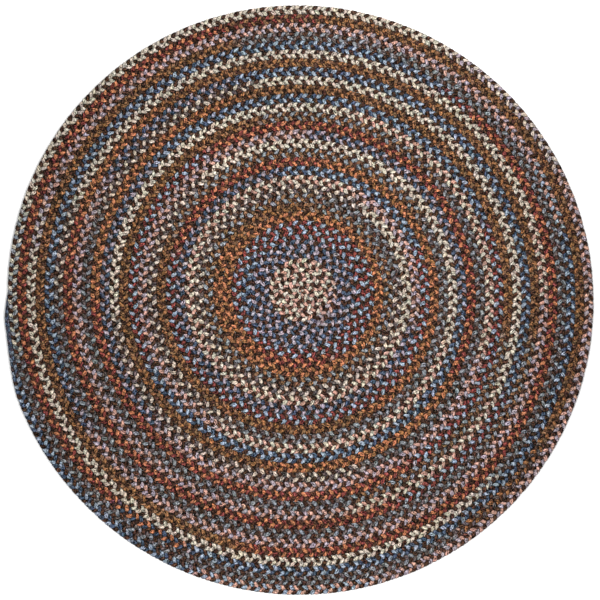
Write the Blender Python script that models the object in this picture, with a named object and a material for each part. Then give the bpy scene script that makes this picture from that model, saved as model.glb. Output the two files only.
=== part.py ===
"""A round braided rug: one long three-strand braid, coiled flat and laced edge to edge.

The solid is the whole coil, with each turn of the braid raised as a rounded rib, a flat
underside and a rounded rim. The braid's outer end tapers away against the turn inside it.
Metres, +Z up. The origin is under the middle of the rug's bounding box.
"""

import math

import bmesh
import bpy

# The coil, seen from above
PITCH = 0.0289  # the braid's width, and so the distance between turns
OUTER_PITCH = 0.0281  # the same where the coil is laced tighter
TIGHTER_FROM = 22.4  # turns from the middle
DRIFT_PER_TURN = (-0.00032, -0.0008)  # how far each turn's middle lies from the last one's
START_SHIFT = (-0.0025, -0.0087)  # the first turns lie this much to one side
START_REACH = 5.0  # turns over which that fades
OVAL = 0.004  # share by which the rug is longer than round, and which way
OVAL_ANGLE = math.radians(139)
STEPS = 60  # facets to a turn
STRIP_FIRST = 60  # the step where the first rib leaves the middle
STRIP_LAST = 1915  # the step where the braid ends, 31.92 turns out
END_ANGLE = math.radians(180)  # where it ends, counterclockwise from +X
TAPER_STEPS = 3  # how long its tapered end is: 18 degrees

# Heights and the rim's section
CREST = 0.012  # top of a rib
VALLEY = 0.0075  # between two ribs, where their edges are laced together
RIM_HEIGHT = 0.006  # where the outer edge is widest
RIM_INSET = 0.004  # how far the edge curls in from there to the floor

WOOL_COLOR = (0.16, 0.12, 0.11, 1.0)
WOOL_ROUGHNESS = 0.95


def clear_scene():
    for thing in list(bpy.data.objects):
        bpy.data.objects.remove(thing, do_unlink=True)


def wool():
    material = bpy.data.materials.new("braided_wool")
    material.use_nodes = True
    shader = material.node_tree.nodes["Principled BSDF"]
    shader.inputs["Base Color"].default_value = WOOL_COLOR
    shader.inputs["Roughness"].default_value = WOOL_ROUGHNESS
    return material


def on_coil(step, turns):
    """The point this many turns out from the middle, on the ray where the step lies."""
    angle = END_ANGLE + math.tau * (STRIP_LAST - step) / STEPS
    radius = PITCH * turns - (PITCH - OUTER_PITCH) * max(turns - TIGHTER_FROM, 0.0)
    radius *= 1 + OVAL * math.cos(2 * (angle - OVAL_ANGLE))
    start = math.exp(-((turns / START_REACH) ** 2))
    x = radius * math.cos(angle) + turns * DRIFT_PER_TURN[0] + start * START_SHIFT[0]
    y = radius * math.sin(angle) + turns * DRIFT_PER_TURN[1] + start * START_SHIFT[1]
    return x, y


def width(step):
    """The braid's width at a step, as a share of PITCH: full, then tapering to nothing."""
    return min(1.0, (STRIP_LAST - step) / TAPER_STEPS)


def inner_edge(step):
    return on_coil(step, step / STEPS - 0.5)


def crest(step):
    return on_coil(step, step / STEPS - 0.5 + 0.5 * width(step))


def outer_edge(step):
    return on_coil(step, step / STEPS - 0.5 + width(step))


def rug_mesh():
    """The closed solid: ribs on top, a rounded rim and a flat underside."""
    bm = bmesh.new()
    rim_steps = range(STRIP_LAST - STEPS, STRIP_LAST)

    # Edges between turns. The outer edge of one step is the inner edge of the step a turn later.
    edge = {}
    for step in range(STRIP_FIRST, STRIP_LAST + 1):
        edge[step] = bm.verts.new((*inner_edge(step), VALLEY))
    for step in rim_steps:
        if step + STEPS not in edge:
            edge[step + STEPS] = bm.verts.new((*outer_edge(step), RIM_HEIGHT))
    edge[STRIP_LAST].co.z = RIM_HEIGHT
    edge[STRIP_LAST + STEPS] = edge[STRIP_LAST]

    # Ribs
    ridge = {}
    for step in range(STRIP_FIRST, STRIP_LAST):
        height = VALLEY + (CREST - VALLEY) * math.sqrt(width(step))
        ridge[step] = bm.verts.new((*crest(step), height))
    for step in range(STRIP_FIRST, STRIP_LAST - 1):
        bm.faces.new((edge[step], edge[step + 1], ridge[step + 1], ridge[step]))
        bm.faces.new((ridge[step], ridge[step + 1], edge[step + STEPS + 1], edge[step + STEPS]))
    tip = STRIP_LAST - 1
    bm.faces.new((edge[tip], edge[STRIP_LAST], ridge[tip]))
    bm.faces.new((ridge[tip], edge[STRIP_LAST], edge[tip + STEPS]))

    # The middle, where the braid starts
    middle = bm.verts.new((*on_coil(0, 0.0), CREST))
    around = [edge[step] for step in range(STRIP_FIRST, STRIP_FIRST + STEPS + 1)]
    around.append(ridge[STRIP_FIRST])
    for here, there in zip(around, around[1:] + around[:1], strict=True):
        bm.faces.new((middle, there, here))

    # Rim and underside
    foot = []
    for step in rim_steps:
        top = edge[step + STEPS].co
        inward = 1.0 - RIM_INSET / math.hypot(top.x, top.y)
        foot.append(bm.verts.new((top.x * inward, top.y * inward, 0.0)))
    rim = [edge[step + STEPS] for step in rim_steps]
    for i in range(STEPS):
        j = (i + 1) % STEPS
        bm.faces.new((rim[i], rim[j], foot[j], foot[i]))
    bm.faces.new(foot)

    bmesh.ops.recalc_face_normals(bm, faces=bm.faces)
    mesh = bpy.data.meshes.new("braided_coil")
    bm.to_mesh(mesh)
    bm.free()
    return mesh


def centre_on_origin(mesh):
    """Moves the points so that the box around them is centred on the Z axis."""
    for axis in (0, 1):
        places = [vertex.co[axis] for vertex in mesh.vertices]
        middle = (min(places) + max(places)) / 2
        for vertex in mesh.vertices:
            vertex.co[axis] -= middle


def main():
    clear_scene()
    rug = bpy.data.collections.new("braided_rug")
    bpy.context.scene.collection.children.link(rug)
    mesh = rug_mesh()
    centre_on_origin(mesh)
    mesh.materials.append(wool())
    mesh.shade_smooth()
    mesh.set_sharp_from_angle(angle=math.radians(50))
    rug.objects.link(bpy.data.objects.new("braided_coil", mesh))


main()
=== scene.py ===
"""The looks of a round braided rug: three wool strands braided along the whole coil.

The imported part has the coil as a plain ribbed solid. Here its place is taken by the braid itself,
built strand by strand along the same coil, in metres, +Z up.
"""

import math

import bpy
import numpy as np
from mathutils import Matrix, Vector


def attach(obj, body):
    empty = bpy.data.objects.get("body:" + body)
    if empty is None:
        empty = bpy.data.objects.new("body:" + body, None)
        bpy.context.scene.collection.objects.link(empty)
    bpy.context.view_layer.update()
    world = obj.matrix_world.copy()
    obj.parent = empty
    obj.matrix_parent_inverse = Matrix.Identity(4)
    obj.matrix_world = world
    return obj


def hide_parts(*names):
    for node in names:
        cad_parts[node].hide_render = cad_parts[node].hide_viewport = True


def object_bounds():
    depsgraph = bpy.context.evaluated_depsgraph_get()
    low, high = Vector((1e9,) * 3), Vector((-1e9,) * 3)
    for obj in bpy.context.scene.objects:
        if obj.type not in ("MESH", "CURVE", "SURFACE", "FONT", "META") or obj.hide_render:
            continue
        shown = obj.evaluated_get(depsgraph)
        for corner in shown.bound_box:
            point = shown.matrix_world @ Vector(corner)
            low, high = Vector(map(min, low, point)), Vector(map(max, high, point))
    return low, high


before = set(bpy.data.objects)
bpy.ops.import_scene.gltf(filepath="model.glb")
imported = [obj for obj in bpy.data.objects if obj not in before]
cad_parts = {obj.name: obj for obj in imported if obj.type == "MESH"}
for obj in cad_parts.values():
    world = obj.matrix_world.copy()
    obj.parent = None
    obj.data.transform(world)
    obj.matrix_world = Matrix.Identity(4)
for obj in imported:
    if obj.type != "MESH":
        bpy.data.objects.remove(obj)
CAD_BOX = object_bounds()

# The coil, as in the part's source
PITCH = 0.0289  # the braid's width, and so the distance between turns
OUTER_PITCH = 0.0281  # the same where the coil is laced tighter
TIGHTER_FROM = 22.4  # turns from the middle
DRIFT_PER_TURN = (-0.00032, -0.0008)  # how far each turn's middle lies from the last one's
START_SHIFT = (-0.0025, -0.0087)  # the first turns lie this much to one side
START_REACH = 5.0  # turns over which that fades
OVAL = 0.004  # share by which the rug is longer than round, and which way
OVAL_ANGLE = math.radians(139)
END_ANGLE = math.radians(180)  # where the braid ends, counterclockwise from +X
STEPS = 60  # the part's facets to a turn
LAST_STEP = 1915  # the step where the braid ends
TAPER_STEPS = 3  # how long the part's tapered end is
END = LAST_STEP / STEPS  # turns from the middle to where the braid ends

# The braid's two ends, in turns. It starts slim, and has its full width from half a turn out.
START = -0.22  # the tip in the middle
TIP = END + 1.2 / 360  # the tip of the tail
TAIL_POINT = 5 / 360  # over which the tail comes to its point
TAIL_SLIM = 8.2 / 360  # from the tip to where the tail starts to widen
TAIL_FULL = 22.2 / 360  # from the tip to where it has its full width
TAIL_WIDTH = 0.46  # the slim tail's share of the full width
SLIMMEST = 0.02  # share of the full width below which the tips get no flatter
LINE_POINTS = 60_000  # from tip to tip, when the braid's length is added up

# How the braid's repeat, in which a strand comes back to the same place, changes along the coil
REPEAT_ROWS = (  # turns from the middle, metres of braid in a repeat
    (0.0, 0.04015),
    (8.0, 0.0427),
    (10.0, 0.0416),
    (12.0, 0.04155),
    (14.0, 0.04035),
    (16.5, 0.0416),
    (22.0, 0.0422),
    (32.0, 0.0418),
)
MEAN_REPEAT = 0.0417  # metres
PULLED = 0.023  # share by which the outermost repeats are longer on one side, and which side
PULLED_ANGLE = math.radians(-105)
STRETCHED = 0.012  # the same for two opposite sides
STRETCHED_ANGLE = math.radians(-5)
FIRST_REPEAT = 5.965  # where the count of repeats stands at the braid's start

# The braid's section. Each strand swings from edge to edge and passes over and under.
STRANDS = 3
HALF_WIDTH = PITCH / 2
MIDDLE_HEIGHT = 0.006  # of the braid's middle above the floor
SWING = 0.0092  # to each side
LIFT = 0.0048  # up and down
HIGHEST = math.radians(30)  # the phase where it is highest, half way from the middle to the edge
TILT = 0.3  # how far a strand's flat side follows its slope, as a share
MIDDLE_HALF_WIDTH = 0.0056  # half the strand's own width and thickness, in the braid's middle
MIDDLE_HALF_DEPTH = 0.0029
EDGE_HALF_WIDTH = 0.0084  # and where it turns over at the edge
EDGE_HALF_DEPTH = 0.0040
WIDER_BELOW = 0.0014  # how much wider it lies on the underside

# How neighbouring turns meet
OUTER_LOOP = 1 / 4  # where in a repeat the first strand's loops stand, on the outer and inner edge
INNER_LOOP = 3 / 4
INTERLOCK = 0.0010  # how far the loops of one turn reach into the notches of the next
INSIDE_STARTS = (0.8, 1.2)  # turns over which they start to do so on the braid's inner edge
OUTSIDE_STOPS = (END - 1.05, END - 1.0)  # and over which they stop on its outer edge
SQUEEZE = 0.0012  # how far the loops of neighbouring turns push into each other
EDGE_BULGE = 0.0010  # how far the last turn's outer loops stand past half the pitch
RIM_STARTS = (END - 1.02, END - 0.98)  # turns over which that comes in
FREE_SHARE = 0.72  # of the half width, beyond which the loops are pressed by the next turn
PRESS_HARDNESS = 4.0  # how sharply they flatten there

# Facets
SIDES = 7  # round a strand
CROWDING = 0.4  # how much the facets crowd to the side that shows
SECTION_ANGLES = np.radians([0, 30, 60, 90, 135])  # in each half of a repeat
SPARE_HALVES = 4  # halves of a repeat that are worked out past the tail, and cut off
PIECE_ENDS = (9.0, 13.0, 16.5, 19.5, 23.0, 26.5, 29.5, TIP)  # turns

# The flat layout of each piece's surface
STRIP_GAP = 2.0  # pixels between the strips
MOST_STRIPS = 79
CAP_RADIUS = 0.4  # of an end cap, as a share of a facet's length
SMALL_PICTURE = 512  # pixels a side
BIG_PICTURE = 1024
BIG_PICTURE_FROM = 20.0  # turns beyond which a piece has the big one

# The strand's yarns
YARNS = 9  # round a strand
YARN_SHIFT = 0.012  # braid length over which a yarn moves on by its own width
YARN_TINT = 2.4  # share by which yarns differ where the noise is strongest
LUMPS = 240.0  # changes of tint in a metre
LUMPS_ACROSS = 0.8  # and from one yarn to the next
LUMP_DETAIL = 2.0
YARN_HUE = 0.12  # share by which their hue differs
FIBRES_ALONG = 500.0  # in a metre
FIBRES_ACROSS = 2.5  # in a yarn
FIBRE_DETAIL = 3.0
GROOVE_SHADE = 0.5  # painted shade: the colour's share in the groove between two yarns
LEAST_TONE = 0.05  # and its least share anywhere
NOISE_MIDDLE = (0.5, 0.5, 0.5)
YARN_RELIEF = 0.0006
FIBRE_RELIEF = 0.7  # share of that
RELIEF_STRENGTH = 0.8
ROUGHNESS = (0.85, 1.0)
SPECULAR = 0.03
SHEEN = 0.02
SHEEN_ROUGHNESS = 0.6

# Unevenness of hand work: the spread by which the passes of a strand differ
SEED = 7
SPARE_VALUES = 8  # drawn past the braid's end
UNEVEN_SWING = 0.0006
UNEVEN_LIFT = 0.0004
UNEVEN_WIDTH = 0.11  # share
UNEVEN_ALONG = 0.0013
UNEVEN_DYE = 0.045  # share
UNEVEN_HUE = 0.045  # share
DYE_DRIFT = 0.06  # share by which the dye changes slowly
DRIFT_REACH = 14  # passes over which it does
HEATHERED = 0.3  # the brightness of a dye that is just as uneven as that; darker ones are more so
HEATHER_GROWTH = 0.25  # by this power of how much darker it is
MOST_HEATHERED = 2.0  # times, in its yarns' tints

# Painted shade: less light reaches some of the wool, so its colour is made darker there. These are the
# shares of its colour that it keeps there.
SIDE_SHADE = 0.11  # deep between two strands
TWEED_SIDE_SHADE = 0.24  # the same in the tweed strand, whose wool is dark already
SIDE_FADE = (0.1, 0.9)  # how far up the strand's side that reaches
EDGE_SHADE = 0.92  # where it turns over at the braid's edge
MIDDLE_SHADE = 0.6  # where it crosses the braid's middle


def srgb(red, green, blue):
    """A colour as the eye names it, 0 to 255, in the linear values that shaders take."""
    share = np.array([red, green, blue]) / 255
    return np.where(share > 0.04045, ((share + 0.055) / 1.055) ** 2.4, share / 12.92)


# The wool. Two strands are dyed in six equal stretches that repeat along the strand.
DYES = {
    "cream": srgb(194, 186, 169),
    "lilac": srgb(159, 148, 156),
    "light_blue": srgb(144, 157, 172),
    "orange": srgb(175, 114, 82),
    "tan": srgb(124, 93, 68),
    "charcoal": srgb(92, 83, 81),
    "pink": srgb(183, 143, 129),
    "navy": srgb(65, 78, 96),
    "maroon": srgb(116, 60, 55),
    "brown": srgb(138, 97, 64),
    "slate": srgb(133, 138, 143),
    "pale_cream": srgb(195, 180, 165),
    "tweed": srgb(65, 46, 36),
    "tail": srgb(76, 90, 107),
}
DYE_BLEND = 0.03  # share of a stretch over which one colour runs into the next

# The orders run outwards. A stretch and the places of its changes are in repeats of the braid.
WOOLS = {
    "light_strand": {
        "order": ("lilac", "light_blue", "orange", "tan", "charcoal", "cream"),
        "stretch": 50.05,
        "first": 32.6,  # where the first colour of the order starts
        "join": 469.1,  # where a new length of wool is spliced on, further on in its order
        "skip": 0.21,  # stretches that the new length is ahead
        "tail_mix": 0.8,  # how far it takes the colour of the slim tail there
        "fleck": 0.5,  # share by which its fibres differ
        "width": 1.0,  # share of the sizes given above
        "side_shade": SIDE_SHADE,
    },
    "deep_strand": {
        "order": ("navy", "maroon", "brown", "slate", "pale_cream", "pink"),
        "stretch": 51.5,
        "first": 35.6,
        "join": 846.6,
        "skip": 0.21,
        "tail_mix": 0.8,
        "fleck": 0.5,
        "width": 1.0,
        "side_shade": SIDE_SHADE,
    },
    "tweed_strand": {
        "order": ("tweed",),
        "stretch": 50.0,
        "first": 0.0,
        "join": 0.0,
        "skip": 0.0,
        "tail_mix": 0.4,
        "fleck": 1.1,
        "width": 1.04,
        "side_shade": TWEED_SIDE_SHADE,
    },
}

# The photograph's view: straight down, through a long lens
PICTURE = 600  # pixels
METRES_PER_PIXEL = 0.0031
COIL_MIDDLE_PIXEL = (301.6, 289.5)  # from the corner of the picture
CAMERA_HEIGHT = 8.0  # above the rug
CAMERA_REACH = 100  # how far it sees

# A pale floor and surroundings
WHITE = (1, 1, 1, 1)
WORLD_LIGHT = 0.9
FLOOR_SIZE = 60
FLOOR_GAP = 0.0003  # under the rug
FLOOR_ROUGHNESS = 0.9

# One long soft lamp above the rug, which leaves its left and right a little darker
LAMP_WIDTH = 0.56
LAMP_LENGTH = 5.0
LAMP_PLACE = (0.3, 1.1, 1.2)
LAMP_TURN = math.radians(-10)
LAMP_WATTS = 47


def smooth(low, high, value):
    """Runs smoothly from 0 at the low value to 1 at the high one."""
    share = np.clip((value - low) / (high - low), 0.0, 1.0)
    return share * share * (3 - 2 * share)


def angle_at(turns):
    return END_ANGLE + math.tau * (END - turns)


def on_coil(angle, turns):
    """The points these many turns out from the middle, in these directions."""
    radius = PITCH * turns - (PITCH - OUTER_PITCH) * np.maximum(turns - TIGHTER_FROM, 0.0)
    radius = radius * (1 + OVAL * np.cos(2 * (angle - OVAL_ANGLE)))
    start = np.exp(-((turns / START_REACH) ** 2))
    x = radius * np.cos(angle) + turns * DRIFT_PER_TURN[0] + start * START_SHIFT[0]
    y = radius * np.sin(angle) + turns * DRIFT_PER_TURN[1] + start * START_SHIFT[1]
    return np.stack([x, y], axis=-1)


def part_middle():
    """The middle of the box around the part's rim, which the part has on the Z axis."""
    step = np.arange(LAST_STEP - STEPS, LAST_STEP + 1)
    width = np.minimum(1.0, (LAST_STEP - step) / TAPER_STEPS)
    rim = on_coil(angle_at(step / STEPS), step / STEPS - 0.5 + width)
    return (rim.min(axis=0) + rim.max(axis=0)) / 2


def braid_width(turns):
    """The braid's width as a share of the pitch: it grows round the middle and tapers at the tail."""
    left = TIP - turns
    tail = TAIL_WIDTH * np.clip(left / TAIL_POINT, 0.0, 1.0)
    tail = tail + (1 - TAIL_WIDTH) * smooth(TAIL_SLIM, TAIL_FULL, left)
    return np.clip(turns + 0.5, 0.0, 1.0) * tail


def inner_edge(turns):
    return np.maximum(turns - 0.5, 0.0)


def repeat_length(angle, turns):
    """The length of braid in one repeat, at these places."""
    places, lengths = zip(*REPEAT_ROWS, strict=True)
    one_side = PULLED * np.cos(angle - PULLED_ANGLE)
    two_sides = STRETCHED * np.cos(2 * (angle - STRETCHED_ANGLE))
    return np.interp(turns, places, lengths) * (1 + turns / END * (one_side + two_sides))


def braid_line():
    """Turns along the braid's centre line, finely stepped, with its length and repeats up to each."""
    turns = np.linspace(START, TIP, LINE_POINTS)
    angle = angle_at(turns)
    line = on_coil(angle, inner_edge(turns) + braid_width(turns) / 2)
    steps = np.hypot(*np.diff(line, axis=0).T)
    repeats = steps / repeat_length(angle, turns)[1:]
    return (
        turns,
        np.concatenate([[0.0], np.cumsum(steps)]),
        FIRST_REPEAT + np.concatenate([[0.0], np.cumsum(repeats)]),
    )


MIDDLE = part_middle()
LINE_TURNS, LINE_LENGTH, LINE_REPEATS = braid_line()


def turns_at(along):
    return np.interp(along, LINE_LENGTH, LINE_TURNS)


def loops(turns, first):
    """How far the loops along one edge of the braid stand out, from -1 in a notch to 1 on a loop."""
    repeats = np.interp(turns, LINE_TURNS, LINE_REPEATS)
    return np.cos(STRANDS * math.tau * (repeats - first))


def interlock(turns, across):
    """How far the seams beside a turn give way where one side has a loop and the other a notch."""
    outer = loops(turns, OUTER_LOOP) - loops(turns + 1, INNER_LOOP)
    inner = loops(turns - 1, OUTER_LOOP) - loops(turns, INNER_LOOP)
    outer = outer * (1 - smooth(*OUTSIDE_STOPS, turns))
    inner = inner * smooth(*INSIDE_STARTS, turns)
    near = np.minimum(np.abs(across) / HALF_WIDTH, 1.0) ** 2
    return INTERLOCK / 2 * near * np.where(across > 0, outer, inner)


def place(along, across, height):
    """World places of points given along the braid, across it and above the floor."""
    turns = turns_at(along)
    out = inner_edge(turns) + braid_width(turns) * (0.5 + (across + interlock(turns, across)) / PITCH)
    flat = on_coil(angle_at(turns), out) - MIDDLE
    return np.concatenate([flat, height[..., None]], axis=-1)


def pressed(across, along):
    """Loops lie flat against the next turn, but stand free on the rug's outer edge."""
    free = FREE_SHARE * HALF_WIDTH
    rim = smooth(*RIM_STARTS, turns_at(along)) * (across > 0)
    room = HALF_WIDTH - free + SQUEEZE + (EDGE_BULGE - SQUEEZE) * rim
    over = np.maximum(np.abs(across) - free, 0.0) / room
    over = over / (1 + over**PRESS_HARDNESS) ** (1 / PRESS_HARDNESS)
    return np.sign(across) * (np.minimum(np.abs(across), free) + room * over)


def uneven(random, phase, spread, reach=1):
    """Smooth random values along a strand, one for each pass or for each few passes."""
    count = int(2 * LINE_REPEATS[-1] / reach) + SPARE_VALUES
    return np.interp(phase / math.pi / reach, np.arange(count), random.normal(0.0, spread, count))


def ring_phases(shift):
    """The phase of each of a strand's rings of points, and its length along the braid.

    At phase 0 a strand crosses the braid's middle. A quarter of a repeat on it is at the outer
    edge, and at three quarters it is at the inner edge.
    """
    halves = np.arange(int(2 * LINE_REPEATS[0]), int(2 * LINE_REPEATS[-1]) + SPARE_HALVES)
    phase = (halves[:, None] * math.pi + SECTION_ANGLES[None, :]).ravel()
    repeats = (phase - shift) / math.tau
    inside = (repeats > LINE_REPEATS[0]) & (repeats < LINE_REPEATS[-1])
    return phase[inside], np.interp(repeats[inside], LINE_REPEATS, LINE_LENGTH)


def rise_and_slope(phase):
    """How high a strand runs, from -1 to 1, and how fast it rises.

    It goes over the others on its way to an edge, turns over there and comes back under them.
    """
    peak = math.sin(2 * HIGHEST) * math.cos(HIGHEST) ** 2
    rise = np.sin(2 * phase) * np.cos(phase) ** 2
    slope = 2 * np.cos(2 * phase) * np.cos(phase) ** 2 - np.sin(2 * phase) ** 2
    return rise / peak, slope / peak


def ring_axes(phase, swing, lift, slope):
    """The directions across a strand and up from it, at each ring, by the braid's own axes."""
    turn_rate = math.tau / MEAN_REPEAT
    sideways = swing * turn_rate * np.cos(phase)
    upwards = TILT * lift * turn_rate * slope
    forward = np.stack([np.ones_like(phase), sideways, upwards], axis=-1)
    forward /= np.linalg.norm(forward, axis=-1, keepdims=True)
    side = np.stack([-forward[:, 1], forward[:, 0], np.zeros_like(phase)], axis=-1)
    side /= np.linalg.norm(side, axis=-1, keepdims=True)
    return side, np.cross(forward, side)


def facet_angles(phase):
    """Where each ring's points lie round the strand."""
    around = math.pi / 2 + math.tau * np.arange(SIDES) / SIDES
    return around[None, :] + CROWDING * np.sin(2 * phase)[:, None] * np.cos(around)[None, :]


def shades(phase, around, side_shade):
    """Painted shade: the share of its colour that the wool keeps at each point, as less light reaches
    it there.
    """
    edge = np.sin(phase) ** 2
    shade = side_shade + (1 - side_shade) * smooth(*SIDE_FADE, np.abs(np.sin(around)))
    return shade * (1 + (EDGE_SHADE - 1) * edge**3 + (MIDDLE_SHADE - 1) * (1 - edge) ** 3)[:, None]


def strand_rings(shift, wool, random):
    """A strand's rings of points: their phase, length along the braid, places and shades."""
    phase, along = ring_phases(shift)
    swing = SWING + uneven(random, phase, UNEVEN_SWING)
    lift = LIFT + uneven(random, phase, UNEVEN_LIFT)
    size = wool["width"] * (1 + uneven(random, phase, UNEVEN_WIDTH))
    along = along + uneven(random, phase, UNEVEN_ALONG)

    rise, slope = rise_and_slope(phase)
    edge = np.sin(phase) ** 2
    half_width = MIDDLE_HALF_WIDTH + (EDGE_HALF_WIDTH - MIDDLE_HALF_WIDTH) * edge
    half_width = (half_width + WIDER_BELOW * np.maximum(-rise, 0.0)) * size
    half_depth = MIDDLE_HALF_DEPTH + (EDGE_HALF_DEPTH - MIDDLE_HALF_DEPTH) * edge**2

    side, up = ring_axes(phase, swing, lift, slope)
    around = facet_angles(phase)
    out = (half_width[:, None] * np.cos(around))[..., None] * side[:, None, :]
    deep = (half_depth[:, None] * np.sin(around))[..., None] * up[:, None, :]
    middle = np.stack([along, swing * np.sin(phase), lift * rise], axis=-1)
    ring = middle[:, None, :] + out + deep

    ahead = np.clip(ring[..., 0], 0.0, LINE_LENGTH[-1])
    across = pressed(ring[..., 1], ahead)
    flatter = np.sqrt(np.clip(braid_width(turns_at(along)), SLIMMEST, 1.0))
    height = np.maximum(MIDDLE_HEIGHT + ring[..., 2] * flatter[:, None], 0.0)
    return phase, along, place(ahead, across, height), shades(phase, around, wool["side_shade"])


def dye_along(along, wool):
    """The colour of a strand along the braid, which runs from one dye into the next."""
    repeats = np.interp(along, LINE_LENGTH, LINE_REPEATS)
    where = (repeats - wool["first"]) / wool["stretch"] + wool["skip"] * (repeats > wool["join"])
    colours = np.array([DYES[name] for name in wool["order"]])
    zone = np.floor(where).astype(int)
    share = smooth(1 - DYE_BLEND, 1.0, where - zone)[:, None]
    colour = colours[zone % len(colours)] * (1 - share) + colours[(zone + 1) % len(colours)] * share
    mix = wool["tail_mix"] * smooth(TAIL_FULL, TAIL_SLIM, TIP - turns_at(along))[:, None]
    return colour * (1 - mix) + DYES["tail"] * mix


def uneven_dye(random, phase, colour):
    """The share of its colour that the wool has along a strand, a little more or less of each."""
    tone = uneven(random, phase, UNEVEN_DYE) + uneven(random, phase, DYE_DRIFT, DRIFT_REACH)
    red = tone + uneven(random, phase, UNEVEN_HUE)
    blue = tone + uneven(random, phase, UNEVEN_HUE)
    darker = (HEATHERED / colour.mean(axis=-1)) ** HEATHER_GROWTH
    return 1 + np.stack([red, tone, blue], axis=-1) * darker[:, None]


def strip_layout(steps, pixels):
    """How to cut a tube into strips that fill a square: steps to a strip and the size of a facet."""
    room = pixels - 2 * STRIP_GAP
    best = (0, 0.0)
    for strips in range(1, MOST_STRIPS + 1):
        per_strip = math.ceil((steps + 2) / strips)
        size = min(room / per_strip, (room / strips - STRIP_GAP) / SIDES)
        if size > best[1]:
            best = (per_strip, size)
    return best


def flat_layout(steps, pixels):
    """UVs of a tube's facets, laid out in strips, with its two end caps after the last step."""
    per_strip, size = strip_layout(steps, pixels)
    number = np.arange(steps + 2)
    left = STRIP_GAP + (number % per_strip) * size
    bottom = STRIP_GAP + (number // per_strip) * (SIDES * size + STRIP_GAP)
    low = bottom[:steps, None] + np.arange(SIDES) * size
    here = np.broadcast_to(left[:steps, None], low.shape)
    u = np.stack([here + size, here + size, here, here], axis=-1)
    v = np.stack([low, low + size, low + size, low], axis=-1)
    turn = math.tau * np.arange(SIDES) / SIDES
    cap = CAP_RADIUS * size * np.stack([np.cos(turn), np.sin(turn)], axis=-1)
    caps = [cap + np.array([left[i] + size / 2, bottom[i] + size / 2]) for i in (steps, steps + 1)]
    return np.concatenate([np.stack([u.ravel(), v.ravel()], axis=-1), *caps]) / pixels


def yarn_layout(along):
    """UVs that give each corner's length along the braid, in metres, and its share of the way round."""
    shape = (len(along) - 1, SIDES)
    here = np.broadcast_to(along[:-1, None], shape)
    there = np.broadcast_to(along[1:, None], shape)
    low = np.broadcast_to(np.arange(SIDES) / SIDES, shape)
    u = np.stack([there, there, here, here], axis=-1)
    v = np.stack([low, low + 1 / SIDES, low + 1 / SIDES, low], axis=-1)
    caps = np.zeros((2 * SIDES, 2))
    caps[:SIDES, 0] = along[0]
    caps[SIDES:, 0] = along[-1]
    return np.concatenate([np.stack([u.ravel(), v.ravel()], axis=-1), caps])


def tube_corners(count):
    """The points at the corners of a tube's facets and then of its two end caps."""
    first = np.arange(count - 1)[:, None] * SIDES
    here = first + np.arange(SIDES)
    there = first + (np.arange(SIDES) + 1) % SIDES
    facets = np.stack([here + SIDES, there + SIDES, there, here], axis=-1)
    start_cap = np.arange(SIDES)
    end_cap = (count - 1) * SIDES + np.arange(SIDES)[::-1]
    return np.concatenate([facets.ravel(), start_cap, end_cap])


def strand_mesh(name, along, rings, colour, pixels):
    """One closed stretch of a strand: a tube with a cap at each end."""
    count = len(rings)
    corners = tube_corners(count)
    facets = (count - 1) * SIDES
    starts = np.concatenate([4 * np.arange(facets), 4 * facets + np.array([0, SIDES])])

    mesh = bpy.data.meshes.new(name)
    mesh.vertices.add(count * SIDES)
    mesh.vertices.foreach_set("co", rings.astype(np.float32).ravel())
    mesh.loops.add(len(corners))
    mesh.loops.foreach_set("vertex_index", corners.astype(np.int32))
    mesh.polygons.add(len(starts))
    mesh.polygons.foreach_set("loop_start", starts.astype(np.int32))
    mesh.update(calc_edges=True)
    mesh.validate()

    # The points' colours: the dyed colour and its unevenness, times the painted shade of the strands'
    # sides, edges and middle.
    strand_colour = mesh.color_attributes.new("strand_colour", "FLOAT_COLOR", "POINT")
    rgba = np.ones((count, SIDES, 4), np.float32)
    rgba[..., :3] = colour
    strand_colour.data.foreach_set("color", rgba.ravel())
    yarn = mesh.uv_layers.new(name="yarn")
    yarn.data.foreach_set("uv", yarn_layout(along).astype(np.float32).ravel())
    flat = mesh.uv_layers.new(name="OFBake")
    flat.data.foreach_set("uv", flat_layout(count - 1, pixels).astype(np.float32).ravel())
    mesh.shade_smooth()
    return mesh


class Nodes:
    """Short forms for a material's nodes."""

    def __init__(self, tree):
        self.tree = tree

    def add(self, kind, **settings):
        node = self.tree.nodes.new("ShaderNode" + kind)
        for key, value in settings.items():
            setattr(node, key, value)
        return node

    def link(self, output, socket):
        self.tree.links.new(output, socket)

    def feed(self, node, *values):
        """Sets or links a node's inputs, in order, and gives its first output."""
        for socket, value in zip(node.inputs, values):
            if isinstance(value, bpy.types.NodeSocket):
                self.link(value, socket)
            else:
                socket.default_value = value
        return node.outputs[0]

    def math(self, operation, *values):
        return self.feed(self.add("Math", operation=operation), *values)

    def times(self, value, factor):
        return self.math("MULTIPLY", value, factor)

    def spread(self, value, low, high):
        """Takes a value from 0 to 1 to the range given."""
        return self.math("MULTIPLY_ADD", value, high - low, low)

    def vector(self, operation, *values):
        return self.feed(self.add("VectorMath", operation=operation), *values)

    def scale(self, vector, factor):
        node = self.add("VectorMath", operation="SCALE")
        self.link(factor, node.inputs["Scale"])
        return self.feed(node, vector)

    def noise(self, x, y, detail):
        """Noise in one grey value. Its node also has it in three, as a colour."""
        node = self.add("TexNoise", noise_dimensions="2D")
        node.inputs["Scale"].default_value = 1.0
        node.inputs["Detail"].default_value = detail
        self.link(self.feed(self.add("CombineXYZ"), x, y), node.inputs["Vector"])
        return node.outputs[0]


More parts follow.
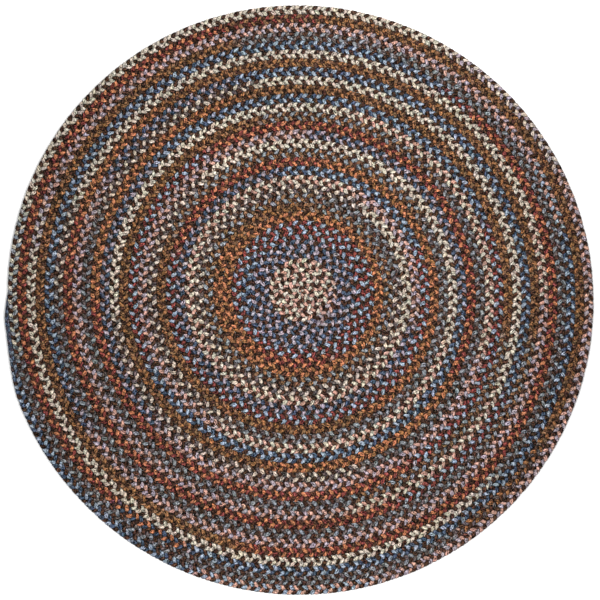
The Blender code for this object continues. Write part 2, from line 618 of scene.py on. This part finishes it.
def wool_colour(nodes, ridge, lump, fibre, fleck):
    """The points' colour, which holds the wool's dyed colour and the painted shade, lighter or darker
    from yarn to yarn and fibre to fibre, with painted shade in the grooves between yarns, and a little
    off in hue.
    """
    # The points' colour holds the painted shade as well as the dyed colour. Its brightness here, and so
    # the heathering, includes that shade.
    strand_colour = nodes.add("VertexColor", layer_name="strand_colour").outputs["Color"]
    bright = nodes.feed(nodes.add("RGBToBW"), strand_colour)
    darker = nodes.math("POWER", nodes.math("DIVIDE", HEATHERED, bright), HEATHER_GROWTH)

    heather = nodes.math("MINIMUM", darker, MOST_HEATHERED)
    tint = nodes.times(nodes.spread(lump, -YARN_TINT, YARN_TINT), heather)
    # Painted shade: the colour is darker in the groove between two yarns, where less light reaches.
    tone = nodes.times(nodes.math("ADD", tint, 1.0), nodes.spread(ridge, GROOVE_SHADE, 1.0))
    tone = nodes.times(tone, nodes.spread(fibre, 1 - fleck, 1 + fleck))
    tone = nodes.math("MAXIMUM", tone, LEAST_TONE)

    hue = nodes.vector("SUBTRACT", lump.node.outputs["Color"], NOISE_MIDDLE)
    hue = nodes.scale(hue, nodes.times(nodes.times(darker, darker), 2 * YARN_HUE))
    return nodes.scale(nodes.vector("MULTIPLY_ADD", strand_colour, hue, strand_colour), tone)


def wool_material(name, fleck):
    """Heathered wool yarns, laid side by side along the strand with a slight twist."""
    material = bpy.data.materials.new(name)
    material.use_nodes = True
    nodes = Nodes(material.node_tree)
    shader = material.node_tree.nodes["Principled BSDF"]

    places = nodes.add("SeparateXYZ")
    nodes.feed(places, nodes.add("UVMap", uv_map="yarn").outputs[0])
    along, around = places.outputs[0], places.outputs[1]
    across = nodes.math("MULTIPLY_ADD", along, 1 / YARN_SHIFT, nodes.times(around, YARNS))
    number = nodes.math("FLOORED_MODULO", nodes.math("FLOOR", across), YARNS)
    ridge = nodes.math("SINE", nodes.times(nodes.math("FRACT", across), math.pi))
    lump = nodes.noise(nodes.times(along, LUMPS), nodes.times(number, LUMPS_ACROSS), LUMP_DETAIL)
    fibre = nodes.noise(
        nodes.times(along, FIBRES_ALONG), nodes.times(across, FIBRES_ACROSS), FIBRE_DETAIL
    )

    nodes.link(wool_colour(nodes, ridge, lump, fibre, fleck), shader.inputs["Base Color"])
    nodes.link(nodes.spread(fibre, *ROUGHNESS), shader.inputs["Roughness"])
    shader.inputs["Specular IOR Level"].default_value = SPECULAR
    shader.inputs["Sheen Weight"].default_value = SHEEN
    shader.inputs["Sheen Roughness"].default_value = SHEEN_ROUGHNESS

    bump = nodes.add("Bump")
    bump.inputs["Strength"].default_value = RELIEF_STRENGTH
    bump.inputs["Distance"].default_value = YARN_RELIEF
    nodes.link(nodes.math("MULTIPLY_ADD", fibre, FIBRE_RELIEF, ridge), bump.inputs["Height"])
    nodes.link(bump.outputs[0], shader.inputs["Normal"])
    return material


def build_strand(name, shift, wool, random):
    """One strand of the braid, in pieces that follow each other along the coil."""
    phase, along, rings, shade = strand_rings(shift, wool, random)
    strand_colour = dye_along(along, wool)
    # The painted shade is multiplied into each point's colour here.
    colour = (strand_colour * uneven_dye(random, phase, strand_colour))[:, None, :] * shade[..., None]
    material = wool_material(name, wool["fleck"])
    start = 0
    stops = np.minimum(np.searchsorted(turns_at(along), PIECE_ENDS), len(along) - 1)
    for number, (end, stop) in enumerate(zip(PIECE_ENDS, stops, strict=True), 1):
        cut = slice(start, stop + 1)
        pixels = BIG_PICTURE if end > BIG_PICTURE_FROM else SMALL_PICTURE
        mesh = strand_mesh(f"{name}_{number}", along[cut], rings[cut], colour[cut], pixels)
        mesh.materials.append(material)
        piece = bpy.data.objects.new(mesh.name, mesh)
        bpy.context.scene.collection.objects.link(piece)
        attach(piece, "root")
        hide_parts("braided_coil")
        start = stop


def build_braid():
    """The strands, which follow each other a third of a repeat apart."""
    random = np.random.default_rng(SEED)
    for number, (name, wool) in enumerate(WOOLS.items()):
        build_strand(name, number * math.tau / STRANDS, wool, random)


def add_camera():
    camera = bpy.data.objects.new("camera", bpy.data.cameras.new("camera"))
    bpy.context.scene.collection.objects.link(camera)
    x = (PICTURE / 2 - COIL_MIDDLE_PIXEL[0]) * METRES_PER_PIXEL - MIDDLE[0]
    y = -(PICTURE / 2 - COIL_MIDDLE_PIXEL[1]) * METRES_PER_PIXEL - MIDDLE[1]
    rug_top = CAD_BOX[1][2]
    camera.location = (x, y, rug_top + CAMERA_HEIGHT)
    camera.data.lens = camera.data.sensor_width * CAMERA_HEIGHT / (PICTURE * METRES_PER_PIXEL)
    camera.data.clip_end = CAMERA_REACH
    bpy.context.scene.camera = camera


def add_floor():
    bpy.ops.mesh.primitive_plane_add(size=FLOOR_SIZE, location=(0, 0, -FLOOR_GAP))
    floor = bpy.context.object
    floor.name = "floor"
    material = bpy.data.materials.new("pale_floor")
    material.use_nodes = True
    shader = material.node_tree.nodes["Principled BSDF"]
    shader.inputs["Base Color"].default_value = WHITE
    shader.inputs["Roughness"].default_value = FLOOR_ROUGHNESS
    floor.data.materials.append(material)


def add_surroundings():
    world = bpy.data.worlds.new("studio")
    world.use_nodes = True
    world.node_tree.nodes["Background"].inputs["Color"].default_value = WHITE
    world.node_tree.nodes["Background"].inputs["Strength"].default_value = WORLD_LIGHT
    bpy.context.scene.world = world


def add_lamp():
    lamp = bpy.data.objects.new("softbox", bpy.data.lights.new("softbox", "AREA"))
    bpy.context.scene.collection.objects.link(lamp)
    lamp.data.shape = "RECTANGLE"
    lamp.data.size = LAMP_WIDTH
    lamp.data.size_y = LAMP_LENGTH
    lamp.data.energy = LAMP_WATTS
    lamp.location = LAMP_PLACE
    lamp.rotation_euler = (0, 0, LAMP_TURN)
    lamp.visible_camera = False


add_camera()
build_braid()
add_floor()
add_surroundings()
add_lamp()
bpy.context.scene.view_settings.view_transform = "Standard"
